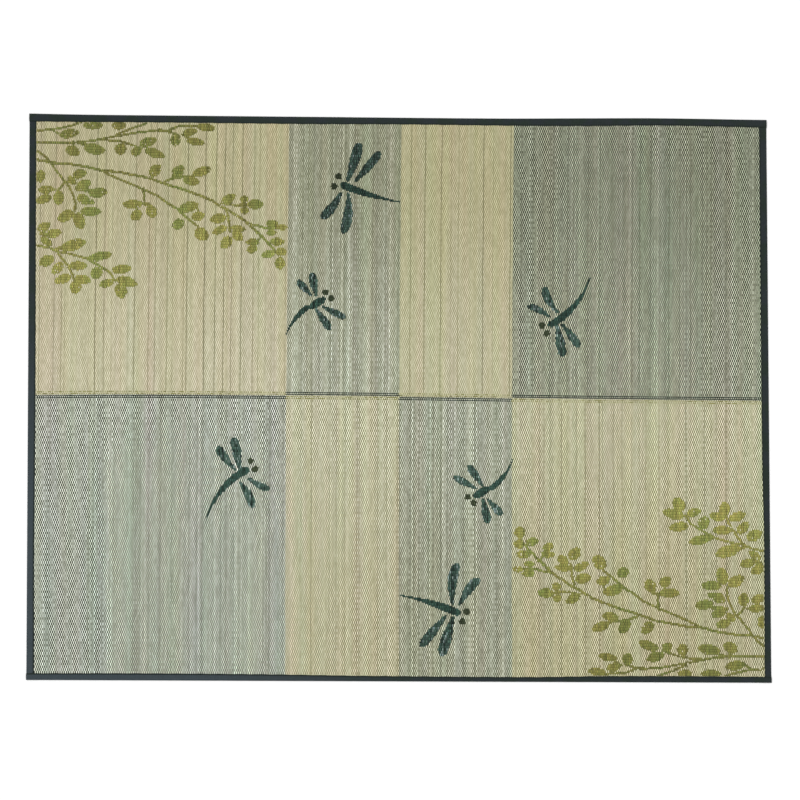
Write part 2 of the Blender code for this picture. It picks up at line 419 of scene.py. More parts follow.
@dataclass(frozen=True)
class Dragonfly:
    """A woven dragonfly, in millimetres on the rear panel."""

    eyes: Rows
    eye: float
    body: tuple[float, ...]
    wings: Rows
    head: tuple[float, ...] = ()

    def lobes(self) -> list[Lobe]:
        """Its eyes, body and wings.

        Returns:
            The lobes, where body, head and wings give base x and y, tip x and y, width and bow.
        """
        parts = [Lobe((x - self.eye, y), (x + self.eye, y), 2 * self.eye, Form.OVAL, Dye.EYE) for x, y in self.eyes]
        parts += [Lobe(w[:2], w[2:4], w[4], Form.WING, Dye.TEAL, w[5]) for w in self.wings]
        parts.append(Lobe(self.body[:2], self.body[2:4], self.body[4], Form.TAIL, Dye.BODY, self.body[5]))
        if self.head:
            parts.append(Lobe(self.head[:2], self.head[2:4], self.head[4], Form.OVAL, Dye.BODY, 0.0))
        return parts


DRAGONFLIES = (
    Dragonfly(eyes=((-211, 750), (-225, 716)), eye=11.5, body=(-206, 725, -3, 664, 26, -6),
              wings=((-182, 732, -141, 866, 36, -2), (-157, 731, -70, 835, 31, -1), (-199, 698, -267, 605, 31, 5),
                     (-179, 696, -194, 554, 33, 9))),
    Dragonfly(eyes=((481, 248), (497, 221)), eye=11, body=(501, 245, 643, 409, 26, -22),
              wings=((508, 275, 434, 314, 24, -5), (537, 290, 488, 380, 27, 9), (532, 249, 553, 141, 30, 0),
                     (547, 253, 608, 173, 27, 3))),
    Dragonfly(eyes=((-251, 355), (-232, 335)), eye=11, body=(-303, 311, -384, 209, 20, -10),
              head=(-250, 336, -306, 303, 28),
              wings=((-297, 341, -347, 396, 24, 0), (-282, 339, -299, 423, 28, 0), (-263, 308, -183, 268, 24, 0),
                     (-285, 301, -233, 228, 26, 0))),
)


@dataclass(frozen=True)
class Block:
    """One woven block between two places along the rug.

    It holds its share of blue stems, the tone of the dips between floats, which is partly the darker stems and warps
    there and partly painted shade in the hollows, how far single stems stray in tone, and its colour at the seam and
    at the edge.
    """

    blue: float
    # Tone of the dips: partly the darker stems and warps below, partly painted shade in the hollows between floats
    dip: float
    streak: float
    at_seam: str
    at_edge: str


@dataclass
class RushPanel:
    """One woven rush panel: staggered floats of rush over hidden warps, in blocks of natural and blue stems."""

    name: str
    side: int
    blocks: tuple[Block, ...]
    column_pitch: float = 3.67 * MM
    row_pitch: float = 8.9 * MM
    relief: float = 0.3 * MM
    flat_below: float = 2.0 * MM
    relief_ease: float = 0.55 * MM
    block_edges: tuple[float, ...] = (-380.7 * MM, 1.4 * MM, 380.6 * MM)
    colour_run: float = 0.85
    nominal_depth: float = 949 * MM
    outer_rim: float = 4 * MM
    end_ease: float = 70 * MM
    drift: float = 3.6 * MM
    # Sideways waves of loose stems: size in millimetres, wavelengths along x and y in metres, phase
    waves: Rows = ((0.2, 0.083, 0.19, 0.0), (0.25, 0.147, -0.31, 1.3), (0.35, 0.35, 0.47, 0.4))
    # Rounded edge at the seam: millimetres in from it, and share of the full thickness there
    selvedge: Rows = ((0.0, 0.45), (0.4, 0.75), (1.2, 0.95), (2.4, 1.0))
    under_rows: tuple[float, ...] = (0.0, 2.4, 300.0, 600.0, 893.0, 903.0, 913.0, 920.0, 949.0)

    def __post_init__(self) -> None:
        """Fits a whole number of columns into the length."""
        self.first = -RUG.half_length + RUG.rush_back
        self.columns = round(-2 * self.first / self.column_pitch)
        self.pitch = -2 * self.first / self.columns

    def place(self, column: Array, inward: Array) -> tuple[Array, Array, Array, Array]:
        """Carries a place in the weave to the rug.

        Columns run straight to the rear and front. They wander half a millimetre sideways as loose stems
        do, by three waves that cross each other, and at the ends lean with the rug's outline. Rows keep
        their share of the depth between the seam and the edge.

        Args:
            column: Column number, whole or not.
            inward: Distance from the seam in metres.

        Returns:
            x, y, the middle height and the thickness of the cloth there.
        """
        x = self.first + column * self.pitch
        start = RUG.seam.at(x) + self.side * RUG.clearance / 2
        stop = RUG.outer_y(x, self.side) - self.side * RUG.rush_back
        y = start + (stop - start) * inward / self.nominal_depth
        end_in = RUG.half_length - np.abs(x)
        at_end = smooth_step(1 - end_in / self.end_ease)
        wander = sum(size * np.sin(2 * np.pi * (x / in_x + y / in_y) + phase)
                     for size, in_x, in_y, phase in self.waves) * MM
        shift = (wander + self.drift * (inward / self.nominal_depth) ** 2) * (1 - at_end) - RUG.lean * y * at_end
        edge_in = RUG.rush_back + np.abs(stop - y)
        under, top = RUG.rush_height(RUG.lapped(end_in) + RUG.lapped(edge_in))
        share = np.interp(inward / MM, [r[0] for r in self.selvedge], [r[1] for r in self.selvedge])
        return x + shift, y, (under + top) / 2, (top - under) * share

    def block_colour(self, x: Array, inward: Array) -> tuple[Array, dict[str, Array]]:
        """Mean colour of the stems, and the numbers of their block by name.

        Each block goes from its colour at the seam to its colour at the edge by an S-curve.

        Args:
            x: Places along the rug.
            inward: Distances from the seam.

        Returns:
            Linear colours, and the blocks' blue, dip and streak.
        """
        index = np.searchsorted(self.block_edges, x)
        near = np.array([linear_colour(b.at_seam) for b in self.blocks])[index]
        far = np.array([linear_colour(b.at_edge) for b in self.blocks])[index]
        share = smooth_step(inward / (self.colour_run * self.nominal_depth))[:, None]
        numbers = {key: np.array([getattr(b, key) for b in self.blocks])[index] for key in ("blue", "dip", "streak")}
        return near * (1 - share) + far * share, numbers

    def cell_lift(self, column: Array, row: Array, free: Array) -> Array:
        """Height of the egg-crate surface: up on a float and down between floats, by turns."""
        return self.relief * np.where((column + row) % 2 == 0, 1.0, -1.0) * free

    def build(self, material: bpy.types.Material) -> bpy.types.Object:
        """Weaves the cloth: one vertex for each cell on top, few and long faces below, closed all round.

        Args:
            material: The undyed and blue ground's finish.

        Returns:
            The cloth.
        """
        lattice = np.arange(1, int(self.nominal_depth / self.row_pitch)) * self.row_pitch
        edge = np.array([r[0] for r in self.selvedge]) * MM
        inward = np.concatenate([edge, lattice, [self.nominal_depth - self.outer_rim, self.nominal_depth]])
        row_number = np.concatenate([np.zeros(len(edge)), np.arange(1, len(lattice) + 1), [0, 0]])
        column = np.arange(self.columns + 1)
        cc, ss = crossed(column, inward)
        rr = np.tile(row_number, len(column))
        x, y, middle, thick = self.place(cc.astype(float), ss)
        free = (rr > 0) * smooth_step((thick - self.flat_below) / self.relief_ease)
        top = np.c_[x, y, middle + thick / 2 + self.cell_lift(cc, rr, free)]
        below = np.array(self.under_rows) * MM
        uc, us = crossed(column, below)
        ux, uy, umiddle, uthick = self.place(uc.astype(float), us)
        under = np.c_[ux, uy, umiddle - uthick / 2]
        points = np.r_[top, under]
        colour, numbers = self.block_colour(np.r_[cc, uc] * self.pitch + self.first, np.r_[ss, us])
        uv = np.c_[np.r_[cc, uc], np.r_[ss, us] / self.row_pitch]
        faces = self.faces(len(column), len(inward), len(below), rr.reshape(len(column), -1))
        return build_piece(self.name, points, faces, material, uv=uv, colour=colour, numbers=numbers,
                           mirrored=self.side < 0)

    def faces(self, columns: int, rows: int, low_rows: int, row_number: Array) -> list:
        """Triangles on top, cut so that every float is a ridge of its own, with the underside and the rims.

        Args:
            columns: Columns of vertices.
            rows: Rows of vertices on top.
            low_rows: Rows of vertices below.
            row_number: Weave row of each vertex on top.

        Returns:
            Arrays of vertex numbers, facing outwards on the rear panel.
        """
        grid = np.arange(columns * rows).reshape(columns, rows)
        low = np.arange(columns * low_rows).reshape(columns, low_rows) + columns * rows
        a, b, c, d = grid[:-1, :-1], grid[1:, :-1], grid[1:, 1:], grid[:-1, 1:]
        up = ((np.arange(columns - 1)[:, None] + row_number[:-1, :-1]) % 2 == 0)[..., None]
        first = np.where(up, np.stack([a, b, d], -1), np.stack([a, b, c], -1)).reshape(-1, 3)
        second = np.where(up, np.stack([b, c, d], -1), np.stack([a, c, d], -1)).reshape(-1, 3)
        seam = quads_of(np.stack([grid[:, 0], low[:, 0]]))
        outer = quads_of(np.stack([grid[::-1, -1], low[::-1, -1]]))
        left = [np.r_[grid[0], low[0, ::-1]]]
        right = [np.r_[grid[-1, ::-1], low[-1]]]
        return [first, second, quads_of(low.T), seam, outer, left, right]


@dataclass(frozen=True)
class Lie:
    """How far woven figures lie off their chart: millimetres, and shares of x and of y, for each direction."""

    in_x: tuple[float, float, float]
    in_y: tuple[float, float, float]

    def on_chart(self, x: Array, y: Array, side: int) -> tuple[Array, Array]:
        """Place on the chart of a place on the panel, both in millimetres; the front panel is turned round."""
        (ax, bx, cx), (ay, by, cy) = self.in_x, self.in_y
        return side * (x + ax + bx * x + cx * y), side * (y + ay + by * x + cy * y)


@dataclass
class Figures:
    """Leaf sprays and dragonflies: floats of dyed stems that stand on the face of one panel."""

    panel: RushPanel
    seed: int
    lie: Lie
    blue_light: float = 1.0
    half_width: float = 1.87 * MM
    crest: float = 0.28 * MM
    rim: float = 0.06 * MM
    end_columns: int = 6
    edge_rows: int = 3
    gaps: float = 0.012
    hip: float = 0.22
    longest_hipped: float = 1.6
    sunk_relief: float = 0.15
    least_rise: float = 0.25
    pressed_below: float = 1.7 * MM
    pressed_run: float = 0.9 * MM
    flecks: float = 0.10
    greening: float = 0.7
    green_base: float = 0.2
    # Two slanted waves of the green patches: turns for each metre along x and along y, and phase, in radians
    green_waves: Rows = ((33.1, 2.5, 2.9), (10.5, -3.1, 1.7))
    seam_light: float = 0.8
    even_light_at: float = 0.70
    stem_stray: float = 0.9
    own_stray: float = 0.8
    tint_stray: float = 0.03
    tone_limits: tuple[float, float] = (0.35, 2.2)
    colour_limits: tuple[float, float] = (0.002, 0.9)
    # Painted light and shade of a float: its tone where it stands up and where it dips, for dragonflies, then leaves
    # and stems
    painted_float_shading: Rows = ((1.3, 0.55), (1.12, 0.72))

    def lobes(self) -> list[Lobe | Twig]:
        """Every figure, in the order in which it is laid.

        Returns:
            The stems, then the leaves, then the dragonflies' parts.
        """
        shapes: list[Lobe | Twig] = list(TWIGS)
        for x, y, length, width, heading in LEAVES:
            turn = math.radians(heading)
            dx, dy = 0.5 * length * math.cos(turn), 0.5 * length * math.sin(turn)
            shapes.append(Lobe((x - dx, y - dy), (x + dx, y + dy), width, Form.LEAF, Dye.OLIVE))
        for insect in DRAGONFLIES:
            shapes += insect.lobes()
        return shapes

    def build(self, material: bpy.types.Material) -> bpy.types.Object:
        """Lays a float of one or two half rows in each cell of the weave that a figure covers.

        Args:
            material: The dyed stems' finish.

        Returns:
            The floats, joined in one mesh.
        """
        chance = np.random.default_rng(self.seed + 1)
        panel = self.panel
        half_row = panel.row_pitch / 2
        count = int(panel.nominal_depth / half_row) - self.edge_rows
        column, row = crossed(np.arange(self.end_columns, panel.columns - self.end_columns + 1), np.arange(1, count))
        x, y, _, _ = panel.place(column.astype(float), (row + 0.5) * half_row)
        fx, fy = self.lie.on_chart(x / MM, y / MM, panel.side)
        dye = np.full(x.shape, -1)
        dyes = list(Dye)
        for shape in self.lobes():
            dye[shape.covers(fx, fy)] = dyes.index(getattr(shape, "dye", Dye.STEM))
        leafy = np.isin(dye, [dyes.index(Dye.OLIVE), dyes.index(Dye.STEM)])
        dye[leafy & (chance.random(x.shape) < self.gaps)] = -1
        return self.floats(column, row, dye, chance, material)

    def floats(self, column: Array, row: Array, dye: Array, chance: np.random.Generator,
               material: bpy.types.Material) -> bpy.types.Object:
        """Joins the two half rows of a cell where both are dyed alike, and shapes each float.

        A float is a hipped roof: a base of four points in the cloth and a ridge of two points along it,
        which is pressed down under the tape.

        Args:
            column: Column of each half row.
            row: Number of each half row.
            dye: Number of its dye, or -1 where no figure covers it.
            chance: Source of the random draws.
            material: The dyed stems' finish.

        Returns:
            The floats, joined in one mesh.
        """
        panel = self.panel
        half_row = panel.row_pitch / 2
        shape = (len(np.unique(column)), -1)
        grid = dye.reshape(shape)
        columns, rows = column.reshape(shape), row.reshape(shape)
        if grid.shape[1] % 2:
            grid, columns, rows = grid[:, :-1], columns[:, :-1], rows[:, :-1]
        first, second = grid[:, 0::2], grid[:, 1::2]
        lead = columns[:, 0::2], rows[:, 0::2]
        joined = (first >= 0) & (first == second)
        one, two = (first >= 0) & ~joined, (second >= 0) & ~joined
        picks = [(lead[0][m], lead[1][m] + s, lead[1][m] + s + n, g[m], (lead[0][m] + (lead[1][m] + 1) // 2) % 2)
                 for m, s, n, g in ((joined, 0, 2, first), (one, 0, 1, first), (two, 1, 1, second))]
        cc, start, stop, kind, low = (np.concatenate(part) for part in zip(*picks))
        width = self.half_width / panel.pitch
        edge = self.hip * np.minimum(stop - start, self.longest_hipped)
        across = np.c_[cc - width, cc + width, cc + width, cc - width, cc, cc]
        along = np.c_[start, start, stop, stop, start + edge, stop - edge] * half_row
        x, y, middle, thick = panel.place(across.ravel(), along.ravel())
        face = (middle + thick / 2).reshape(across.shape)
        ridge = panel.relief * np.where(low == 0, 1.0, self.sunk_relief) + self.crest
        clear = smooth_step((thick.reshape(face.shape)[:, 4:] - self.pressed_below) / self.pressed_run)
        face[:, :4] += self.rim
        face[:, 4:] += ridge[:, None] * (self.least_rise + (1 - self.least_rise) * clear)
        chart = self.lie.on_chart(x.reshape(face.shape)[:, 4] / MM, y.reshape(face.shape)[:, 4] / MM, panel.side)
        tones = np.repeat(self.tones(chart, cc, kind, low, chance), 6, axis=0)
        return build_piece(f"{panel.name}_figures", np.c_[x, y, face.ravel()], roof_faces(len(cc)), material,
                           smooth_to=180, colour=tones, mirrored=panel.side < 0)

    def tones(self, chart: tuple[Array, Array], column: Array, kind: Array, low: Array,
              chance: np.random.Generator) -> Array:
        """Colour of each float: its dye, strayed for its own stem and column, lighter where it stands up and darker
        where it dips, as painted light and shade.

        Leaves turn green in patches, where the product of two slanted waves is high, and every figure is
        lighter by 8 hundredths for each 100 mm nearer to the seam. One float in ten of a wing is a pale fleck.

        Args:
            chart: x and y on the chart, in millimetres.
            column: Column of each float.
            kind: Number of its dye.
            low: 1 where the float dips, 0 where it stands up.
            chance: Source of the random draws.

        Returns:
            Linear colours.
        """
        dyes = list(Dye)
        x, y = chart[0] * MM, chart[1] * MM
        fleck = (kind == dyes.index(Dye.TEAL)) & (chance.random(len(kind)) < self.flecks)
        kind = np.where(fleck, dyes.index(Dye.FLECK), kind)
        base = np.array([d.linear for d in dyes])[kind]
        stray = np.array([d.stray for d in dyes])[kind]
        one, other = (np.sin(in_x * x + in_y * y + phase) for in_x, in_y, phase in self.green_waves)
        green = np.clip(self.green_base + one * other, 0, 1)
        leafy = np.isin(kind, [dyes.index(Dye.OLIVE), dyes.index(Dye.STEM)])
        mix = np.where(leafy, self.greening * green, 0.0)[:, None]
        base = base * (1 - mix) + np.array(Dye.GREEN.linear) * mix
        light = (1.0 + self.seam_light * (self.even_light_at - y)) * np.where(leafy, 1.0, self.blue_light)
        by_column = np.random.default_rng(self.seed + 2).normal(0, self.stem_stray, self.panel.columns + 1)[column]
        swing = light * (1 + stray * (chance.normal(0, self.own_stray, len(kind)) + by_column))
        tint = chance.normal(0, self.tint_stray, (len(kind), 3))
        tone = np.clip(swing, *self.tone_limits) * np.array(self.painted_float_shading)[leafy.astype(int), low]
        return np.clip(base * tone[:, None] * (1 + tint), *self.colour_limits)


@dataclass
class Selvedge:
    """Two thick binding threads woven in beside the seam, dark over blue stems and olive over natural ones."""

    panel: RushPanel
    seed: int
    offsets: tuple[float, ...] = (3.6 * MM, 9.9 * MM)
    half_width: float = 1.9 * MM
    height: float = 0.75 * MM
    arc: int = 5
    end_columns: int = 7
    sunk: float = 0.35 * MM
    base_rise: float = 0.35
    dipped: float = 0.72
    root: float = 0.5 * MM
    mostly_blue: float = 0.5
    showing_through: float = 0.75
    stray: float = 0.16
    tone_limits: tuple[float, float] = (0.5, 1.6)
    # Dark thread and the grey stem under it, over blue; olive thread and the pale stem under it, over natural
    colours: tuple[str, ...] = ("1b231e", "4a544b", "7e7d4a", "c6c4a2")

    def build(self, material: bpy.types.Material) -> bpy.types.Object:
        """Carries a low arch along each thread, which rises and dips by turns over the columns.

        The arch is half a turn of a flattened circle: across by its cosine, up by its sine.

        Args:
            material: The thread's finish.

        Returns:
            Both threads, joined in one mesh.
        """
        chance = np.random.default_rng(self.seed)
        panel = self.panel
        column = np.arange(self.end_columns, panel.columns - self.end_columns + 1).astype(float)
        turn = np.pi * np.arange(self.arc + 1) / self.arc
        points, colours, faces, count = [], [], [], 0
        for index, offset in enumerate(self.offsets):
            cc = np.repeat(column, self.arc + 1)
            tt = np.tile(turn, len(column))
            x, y, middle, thick = panel.place(cc, offset - self.half_width * np.cos(tt))
            swell = np.where((cc + index) % 2 == 0, 1.0, self.dipped)
            face = middle + thick / 2
            z = face - self.sunk + self.height * (self.base_rise + swell * np.sin(tt))
            z = np.where(np.isin(tt, turn[[0, -1]]), face - self.root, z)
            points.append(np.c_[x, y, z])
            colours.append(np.repeat(self.thread_colour(column + index, chance), self.arc + 1, axis=0))
            grid = np.arange(len(cc)).reshape(len(column), -1) + count
            faces += [quads_of(np.c_[grid, grid[:, :1]]), np.stack([grid[0, ::-1], grid[-1]])]
            count += len(cc)
        return build_piece(f"{panel.name}_selvedge", np.concatenate(points), faces, material,
                           colour=np.concatenate(colours), mirrored=panel.side < 0)

    def thread_colour(self, column: Array, chance: np.random.Generator) -> Array:
        """Colour over each column, with a paler stem showing through in most of every second one.

        Args:
            column: Column numbers.
            chance: Source of the random draws.

        Returns:
            Linear colours.
        """
        x = self.panel.first + column * self.panel.pitch
        blue = (self.panel.block_colour(x, np.zeros_like(x))[1]["blue"] > self.mostly_blue)[:, None]
        dark, grey, olive, pale = (np.array(linear_colour(code)) for code in self.colours)
        through = ((column % 2 == 0) & (chance.random(len(column)) < self.showing_through))[:, None]
        shade = np.where(blue, np.where(through, grey, dark), np.where(through, pale, olive))
        return shade * (1 + chance.normal(0, self.stray, len(column)))[:, None].clip(*self.tone_limits)


@dataclass
class Lacing:
    """Pale thread that joins the two panels: slanted stitches over the seam."""

    pitch: float = 7.4 * MM
    slant: float = 3.6 * MM
    reach: float = 2.3 * MM
    radius: float = 0.75 * MM
    rise: float = 0.55 * MM
    sunk: float = 0.6 * MM
    end_gap: float = 34 * MM
    scatter: float = 0.5 * MM
    lean_stray: float = 0.25
    tone_stray: float = 0.10
    colour: str = "dedabd"
    sides: int = 6
    steps: int = 6
    seed: int = 41

    def build(self, material: bpy.types.Material) -> bpy.types.Object:
        """Carries a ring along each stitch: straight across the seam in plan, and up over it by a sine.

        Args:
            material: The thread's finish.

        Returns:
            The stitches, joined in one mesh.
        """
        chance = np.random.default_rng(self.seed)
        start = np.arange(-RUG.half_length + self.end_gap, RUG.half_length - self.end_gap, self.pitch)
        start = start + chance.normal(0, self.scatter, len(start))
        share = np.linspace(0, 1, self.steps + 1)
        turn = 2 * np.pi * np.arange(self.sides) / self.sides
        s, t, a = np.meshgrid(start, share, turn, indexing="ij")
        lean = self.slant * (1 + self.lean_stray * chance.normal(size=len(start)))[:, None, None]
        direction = np.hypot(lean, 2 * self.reach)
        side_x, side_y = 2 * self.reach / direction, -lean / direction
        thin = self.radius * (0.55 + 0.45 * np.sin(np.pi * t) ** 0.5)
        x = s + lean * t + thin * np.cos(a) * side_x
        y = RUG.seam.at(s) + self.reach * (2 * t - 1) + thin * np.cos(a) * side_y
        top = RUG.rush_levels[0]
        z = top - self.sunk + (self.rise + self.sunk) * np.sin(np.pi * t) + thin * np.sin(a)
        grid = np.arange(s.size).reshape(s.shape)
        ring = np.concatenate([grid, grid[..., :1]], axis=2)
        caps = np.concatenate([grid[:, 0], grid[:, -1, ::-1]])
        tone = (1 + chance.normal(0, self.tone_stray, len(start))).repeat(share.size * turn.size)
        return build_piece("seam_lacing", np.c_[x.ravel(), y.ravel(), z.ravel()], [quads_of(ring), caps], material,
                           colour=np.array(linear_colour(self.colour)) * tone[:, None])


@dataclass
class Binding:
    """One strip of tape folded over an edge of the rug and sewn through near its inner edge."""

    node: str
    widths: Line
    side: int
    along_x: bool
    flat: tuple[float, float]
    station: float = 5 * MM
    crown: float = 0.25 * MM
    groove: float = 0.28 * MM
    groove_width: float = 1.5 * MM
    stitch_in: float = 3.2 * MM
    stitch_step: float = 4.2 * MM
    stitch_ends: tuple[float, float] = (0.12, 0.88)
    end_gap: float = 8 * MM
    # Waves of the sewn edge, fray and sway, and of the flat: size, and one or two lengths
    fray: tuple[float, ...] = (0.45 * MM, 2.3 * MM, 31 * MM)
    sway: tuple[float, ...] = (0.4 * MM, 11 * MM)
    ripple: tuple[float, ...] = (0.10 * MM, 3.9 * MM, 47 * MM)
    # Share of the width in from the sewn edge at which the lower layer takes the tape's pattern, clear of the painted
    # edge shade
    under_edge_share: float = 0.3
    fold_steps: int = 6
    tuck: float = 0.5 * MM
    upper: tuple[float, ...] = (0.12, 0.28, 0.46, 0.64, 0.78, 0.87, 0.94, 1.0)
    lower: tuple[float, ...] = (1.0, 0.6, 0.25)

    def run(self) -> tuple[Array, Array, Array]:
        """Stations along the strip, evenly spaced.

        Returns:
            Their places, how far each is from the strip's end, and the strip's width there.
        """
        if self.along_x:
            half = RUG.half_length
            count = round(2 * half / self.station)
            along = np.linspace(-half, half, count + 1)
            return along, half - np.abs(along), self.widths.at(along)
        fold_x = np.array([self.side * (RUG.half_length - self.tuck)])
        low = RUG.outer_y(fold_x, -1)[0] + RUG.rush_back
        high = RUG.outer_y(fold_x, 1)[0] - RUG.rush_back
        count = round((high - low) / self.station)
        along = np.linspace(low, high, count + 1)
        return along, np.minimum(along - low, high - along) + RUG.rush_back, self.widths.at(along)

    def levels(self, near_end: Array) -> tuple[Array, Array]:
        """Heights of the strip's two layers, lifted where two tapes cross.

        Args:
            near_end: Distance of each place from the strip's end.

        Returns:
            The middle of the lower layer and the middle of the upper one.
        """
        lap = RUG.tape + RUG.clearance
        crossed = RUG.lapped(near_end)
        if self.along_x:
            plain = RUG.rush_height(np.ones(1))[1] + RUG.clearance
            corner = RUG.rush_height(np.full(1, 2.0))[1] + RUG.clearance + lap
            return np.full_like(near_end, RUG.tape / 2), plain + (corner - plain) * crossed + RUG.tape / 2
        upper = RUG.rush_height(1 + crossed)[1] + RUG.clearance
        return lap * crossed + RUG.tape / 2, upper + RUG.tape / 2

    @staticmethod
    def wave(along: Array, size: float, *lengths: float) -> Array:
        """The size times sin(along / length), with one sine for each length."""
        return size * np.prod([np.sin(along / length) for length in lengths], axis=0)

    def section(self) -> tuple[Array, Array]:
        """Shape of the tape across its run.

        From the lower sewn edge out to the fold, round it by half a turn, and in over the rush. The flat
        swells by a parabola and is drawn down by a narrow dip where the stitches run.

        Returns:
            Distance in from the fold, and height, of each point of the section at each place.
        """
        along, near_end, width = self.run()
        low, high = self.levels(near_end)
        radius = (high - low) / 2
        centre = RUG.tape / 2 + radius
        flat = width + self.wave(along, *self.fray) + self.wave(along, *self.sway) - centre
        inward = [centre + flat * s for s in self.lower]
        height = [low for _ in self.lower]
        for turn in np.linspace(0, np.pi, self.fold_steps + 1):
            inward.append(centre - radius * np.sin(turn))
            height.append(low + radius * (1 - np.cos(turn)))
        swell = self.crown * (1 if self.along_x else 1 - RUG.lapped(near_end))
        ripple = self.wave(along, *self.ripple)
        for s in self.upper:
            from_edge = flat * (1 - s)
            dip = self.groove * np.exp(-((from_edge - self.stitch_in) / self.groove_width) ** 2)
            inward.append(centre + flat * s)
            height.append(high + swell * 4 * s * (1 - s) + ripple * s - dip)
        return np.array(inward), np.array(height)

    def on_rug(self, along: Array, inward: Array) -> tuple[Array, Array]:
        """Carries places on the strip to the rug's plan.

        Args:
            along: Places along the strip.
            inward: Distances in from the fold.

        Returns:
            x and y.
        """
        if self.along_x:
            y = RUG.outer_y(along, self.side) - self.side * inward
            return along - RUG.lean * y, y
        x = self.side * (RUG.half_length - self.tuck - inward)
        fold_x = np.full_like(x, self.side * (RUG.half_length - self.tuck))
        rear = along > 0
        y = np.where(rear, along + RUG.outer_y(x, 1) - RUG.outer_y(fold_x, 1), along)
        return x - RUG.lean * y, y

    def build(self, material: bpy.types.Material) -> bpy.types.Object:
        """Makes the tape's middle surface, its section carried along its run, and gives it a thickness.

        Args:
            material: The tape's finish.

        Returns:
            The tape.
        """
        along, _, width = self.run()
        inward, height = self.section()
        rows, columns = inward.shape
        x, y = self.on_rug(np.tile(along, rows), inward.ravel())
        points = np.c_[x, y, height.ravel()]
        grid = np.arange(rows * columns).reshape(rows, columns)
        over = np.arange(rows) >= len(self.lower) + self.fold_steps // 2
        from_edge = np.where(over[:, None], width[None] - inward, self.under_edge_share * width[None])
        uv = np.c_[np.tile(along, rows), from_edge.ravel()] / MM
        piece = build_piece(f"{self.node}_tape", points, [quads_of(grid.T)], material, uv=uv,
                            mirrored=(self.side > 0) != self.along_x)
        solid = piece.modifiers.new("Thickness", "SOLIDIFY")
        solid.thickness = RUG.tape
        solid.offset = 0.0
        solid.use_even_offset = False
        return piece

    def stitches(self) -> tuple[Array, Array]:
        """Places and directions of the lock stitches, one in each hole to hole step of the groove.

        Returns:
            The two ends of each stitch, as x, y and z.
        """
        along, _, _ = self.run()
        holes = np.arange(along[0] + self.end_gap, along[-1] - self.end_gap, self.stitch_step)
        inward, height = self.section()
        ends = []
        for share in self.stitch_ends:
            spot = holes + share * self.stitch_step
            edge = np.interp(spot, along, inward[-1])
            z = np.interp(spot, along, height[-2]) + RUG.tape / 2
            x, y = self.on_rug(spot, edge - self.stitch_in)
            ends.append(np.c_[x, y, z])
        return ends[0], ends[1]


@dataclass
class LockStitches:
    """Dark thread of all four strips' stitching."""

    bindings: list[Binding]
    half_width: float = 0.45 * MM
    rise: float = 0.4 * MM
    sunk: float = 0.3 * MM
    hip: float = 0.25
    colour: str = "1c2224"

    def build(self, material: bpy.types.Material) -> bpy.types.Object:
        """Shapes each stitch as a hipped roof between its two holes, its base in the tape.

        Args:
            material: The thread's finish.

        Returns:
            The stitches, joined in one mesh.
        """
        near, far = (np.concatenate(part) for part in zip(*(b.stitches() for b in self.bindings)))
        line = far - near
        line /= np.linalg.norm(line, axis=1, keepdims=True)
        side = np.c_[-line[:, 1], line[:, 0], np.zeros(len(line))] * self.half_width
        sunk, up = np.array([0, 0, -self.sunk]), np.array([0, 0, self.rise])
        inner = self.hip * (far - near)
        points = np.stack([near - side + sunk, near + side + sunk, far + side + sunk, far - side + sunk,
                           near + inner + up, far - inner + up], axis=1).reshape(-1, 3)
        colour = np.tile(np.array(linear_colour(self.colour)), (len(points), 1))
        return build_piece("binding_stitches", points, roof_faces(len(near)), material, smooth_to=180,
                           colour=colour, mirrored=True)


